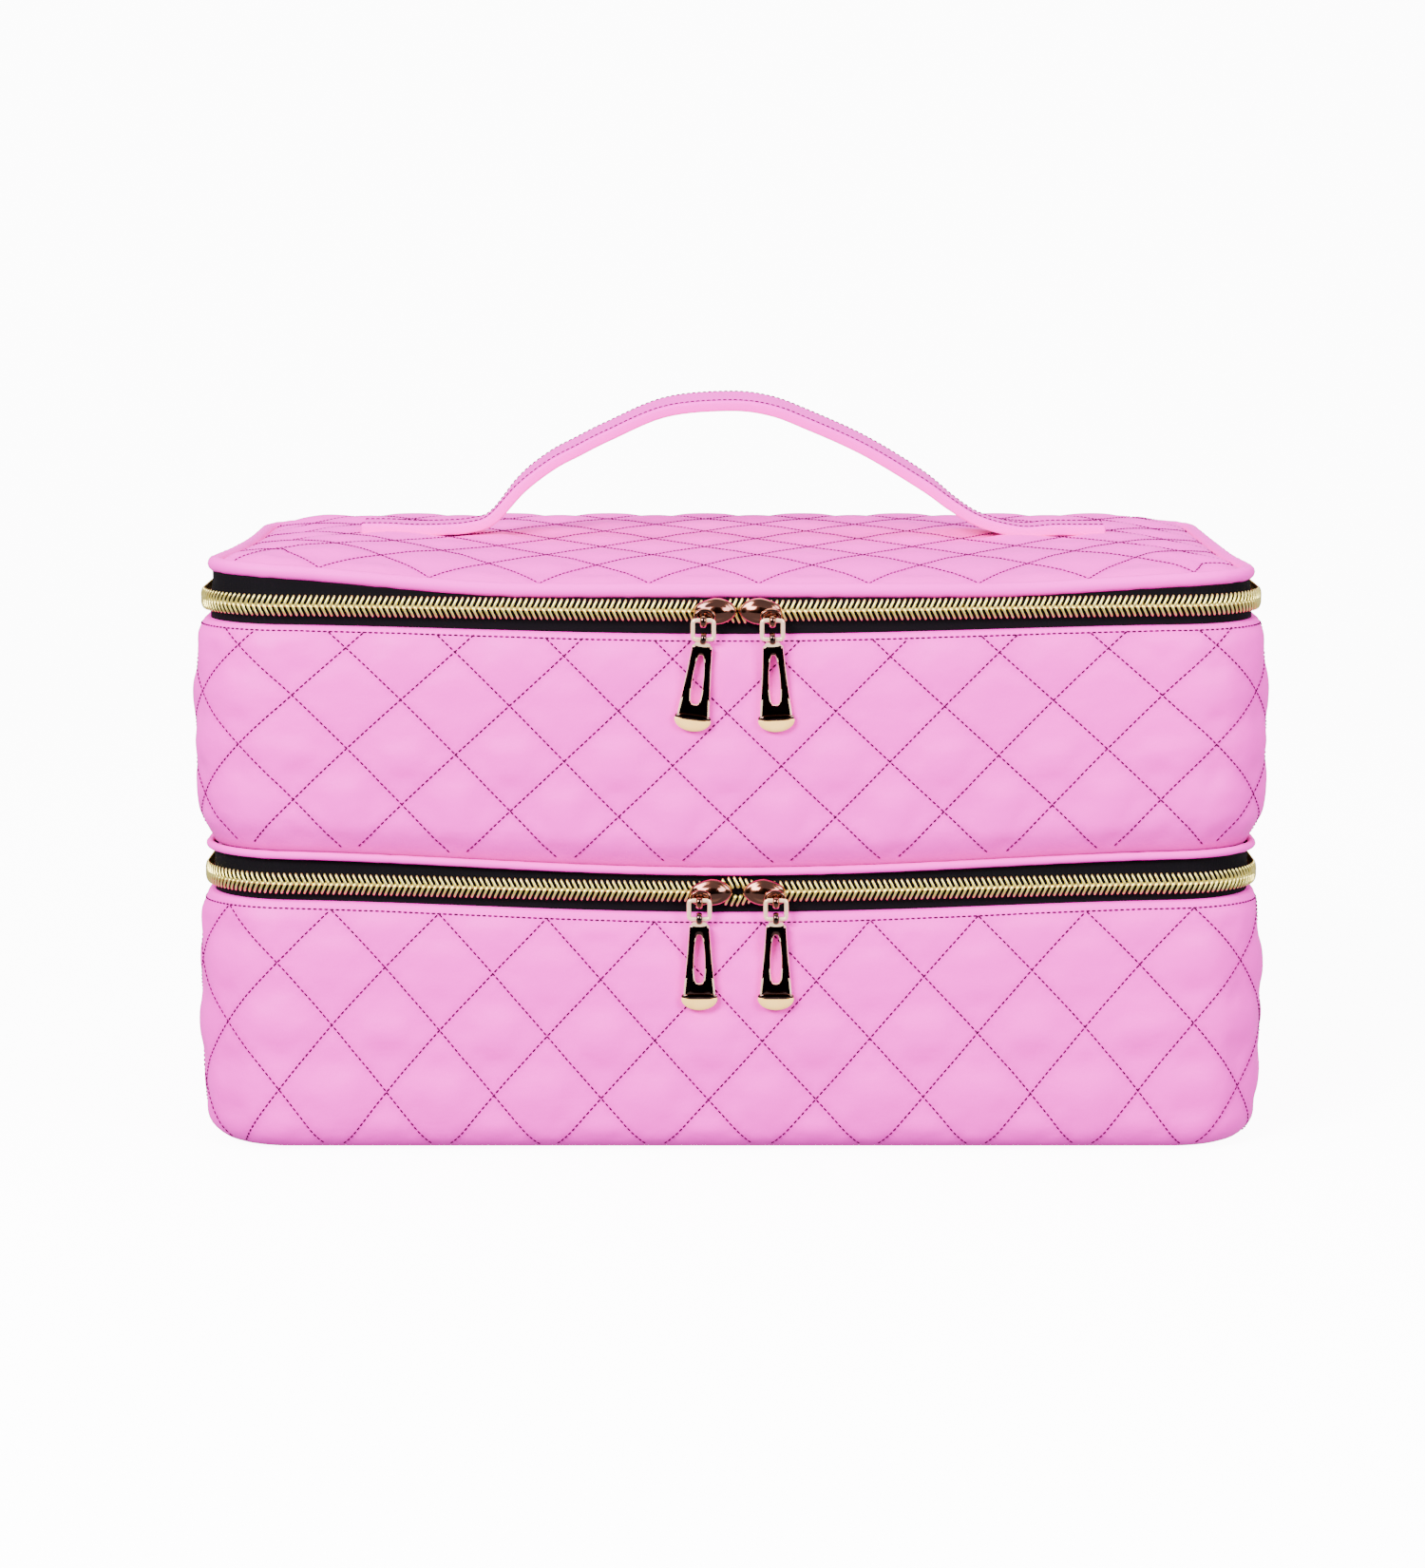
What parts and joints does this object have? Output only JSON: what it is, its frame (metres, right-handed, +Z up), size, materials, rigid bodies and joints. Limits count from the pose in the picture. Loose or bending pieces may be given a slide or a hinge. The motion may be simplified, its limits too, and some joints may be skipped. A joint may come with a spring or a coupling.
{
  "type": "makeup bag",
  "caption": "Two-tier quilted makeup bag: a lid zips to an upper tray, which zips to a lower tray, both hinged at the back, with gold zips and a strap handle.",
  "frame": {"origin": "centre of the flat base, on the surface that the bag stands on", "axes": "+X to the right across the bag, +Y from the front with the sliders to the back with the fabric hinges, +Z up"},
  "size_m": [0.3412, 0.2058, 0.236],
  "materials": {
    "quilted_fabric": "soft satin quilted nylon",
    "plain_fabric": "soft satin nylon",
    "piping": "soft satin nylon over cord",
    "strap": "folded and edge-stitched nylon",
    "lining": "smooth polyester lining",
    "binding": "ribbed binding tape",
    "mesh": "open knitted mesh",
    "zip_tape": "woven twill tape",
    "zip_coil": "metallised gold coil",
    "slider_metal": "polished rose gold plating",
    "stiffener": "plain board"
  },
  "bodies": {
    "lower_tier": {"lower_base": "quilted_fabric", "lower_board": "stiffener", "lower_wall": "quilted_fabric", "lower_lining": "lining", "lower_binding": "binding", "lower_zip_tape": "zip_tape", "lower_zip_coil": "zip_coil", "lower_hinge_strip": "plain_fabric", "divider_left": "lining", "divider_right": "lining"},
    "upper_tier": {"tier_floor": "quilted_fabric", "tier_board": "stiffener", "tier_wall": "quilted_fabric", "tier_lining": "lining", "tier_binding": "binding", "tier_piping": "piping", "tier_bottom_tape": "zip_tape", "tier_bottom_coil": "zip_coil", "tier_bottom_strip": "plain_fabric", "tier_top_tape": "zip_tape", "tier_top_coil": "zip_coil", "tier_top_strip": "plain_fabric"},
    "lid": {"lid_panel": "quilted_fabric", "lid_lining": "lining", "lid_piping": "piping", "lid_binding": "binding", "lid_zip_tape": "zip_tape", "lid_zip_coil": "zip_coil", "lid_hinge_strip": "plain_fabric", "pocket_mesh": "mesh", "pocket_binding": "binding", "handle_tail_left": "strap", "handle_tail_right": "strap"},
    "handle": {"handle_strap": "strap"},
    "upper_slider_left": {"upper_slider_left": "slider_metal"},
    "upper_link_left": {"upper_link_left": "slider_metal"},
    "upper_pull_left": {"upper_pull_left": "slider_metal"},
    "upper_slider_right": {"upper_slider_right": "slider_metal"},
    "upper_link_right": {"upper_link_right": "slider_metal"},
    "upper_pull_right": {"upper_pull_right": "slider_metal"},
    "lower_slider_left": {"lower_slider_left": "slider_metal"},
    "lower_link_left": {"lower_link_left": "slider_metal"},
    "lower_pull_left": {"lower_pull_left": "slider_metal"},
    "lower_slider_right": {"lower_slider_right": "slider_metal"},
    "lower_link_right": {"lower_link_right": "slider_metal"},
    "lower_pull_right": {"lower_pull_right": "slider_metal"}
  },
  "joints": [
    {"name": "deck_hinge", "type": "hinge", "parent": "lower_tier", "child": "upper_tier", "pos_m": [0, 0.101, 0.086], "axis": [-1, 0, 0], "range_deg": [0, 90]},
    {"name": "lid_hinge", "type": "hinge", "parent": "upper_tier", "child": "lid", "pos_m": [0, 0.101, 0.1755], "axis": [-1, 0, 0], "range_deg": [0, 105]},
    {"name": "handle_tilt", "type": "hinge", "parent": "lid", "child": "handle", "pos_m": [0, 0, 0.19], "axis": [1, 0, 0], "range_deg": [-45, 45], "stiffness_Nm_per_rad": 0.08},
    {"name": "slide_upper_left", "type": "slide", "parent": "upper_tier", "child": "upper_slider_left", "axis": [-1, 0, 0], "range_m": [0, 0.124]},
    {"name": "swing_upper_link_left", "type": "hinge", "parent": "upper_slider_left", "child": "upper_link_left", "pos_m": [-0.0089, -0.1037, 0.1721], "axis": [-1, 0, 0], "range_deg": [0, 120]},
    {"name": "swing_upper_pull_left", "type": "hinge", "parent": "upper_link_left", "child": "upper_pull_left", "pos_m": [-0.0089, -0.1037, 0.1663], "axis": [-1, 0, 0], "range_deg": [0, 60]},
    {"name": "slide_upper_right", "type": "slide", "parent": "upper_tier", "child": "upper_slider_right", "axis": [1, 0, 0], "range_m": [0, 0.124]},
    {"name": "swing_upper_link_right", "type": "hinge", "parent": "upper_slider_right", "child": "upper_link_right", "pos_m": [0.0129, -0.1037, 0.1721], "axis": [-1, 0, 0], "range_deg": [0, 120]},
    {"name": "swing_upper_pull_right", "type": "hinge", "parent": "upper_link_right", "child": "upper_pull_right", "pos_m": [0.0129, -0.1037, 0.1663], "axis": [-1, 0, 0], "range_deg": [0, 60]},
    {"name": "slide_lower_left", "type": "slide", "parent": "lower_tier", "child": "lower_slider_left", "axis": [-1, 0, 0], "range_m": [0, 0.124]},
    {"name": "swing_lower_link_left", "type": "hinge", "parent": "lower_slider_left", "child": "lower_link_left", "pos_m": [-0.0102, -0.1037, 0.0826], "axis": [-1, 0, 0], "range_deg": [0, 120]},
    {"name": "swing_lower_pull_left", "type": "hinge", "parent": "lower_link_left", "child": "lower_pull_left", "pos_m": [-0.0102, -0.1037, 0.0768], "axis": [-1, 0, 0], "range_deg": [0, 60]},
    {"name": "slide_lower_right", "type": "slide", "parent": "lower_tier", "child": "lower_slider_right", "axis": [1, 0, 0], "range_m": [0, 0.124]},
    {"name": "swing_lower_link_right", "type": "hinge", "parent": "lower_slider_right", "child": "lower_link_right", "pos_m": [0.0142, -0.1037, 0.0826], "axis": [-1, 0, 0], "range_deg": [0, 120]},
    {"name": "swing_lower_pull_right", "type": "hinge", "parent": "lower_link_right", "child": "lower_pull_right", "pos_m": [0.0142, -0.1037, 0.0768], "axis": [-1, 0, 0], "range_deg": [0, 60]}
  ]
}
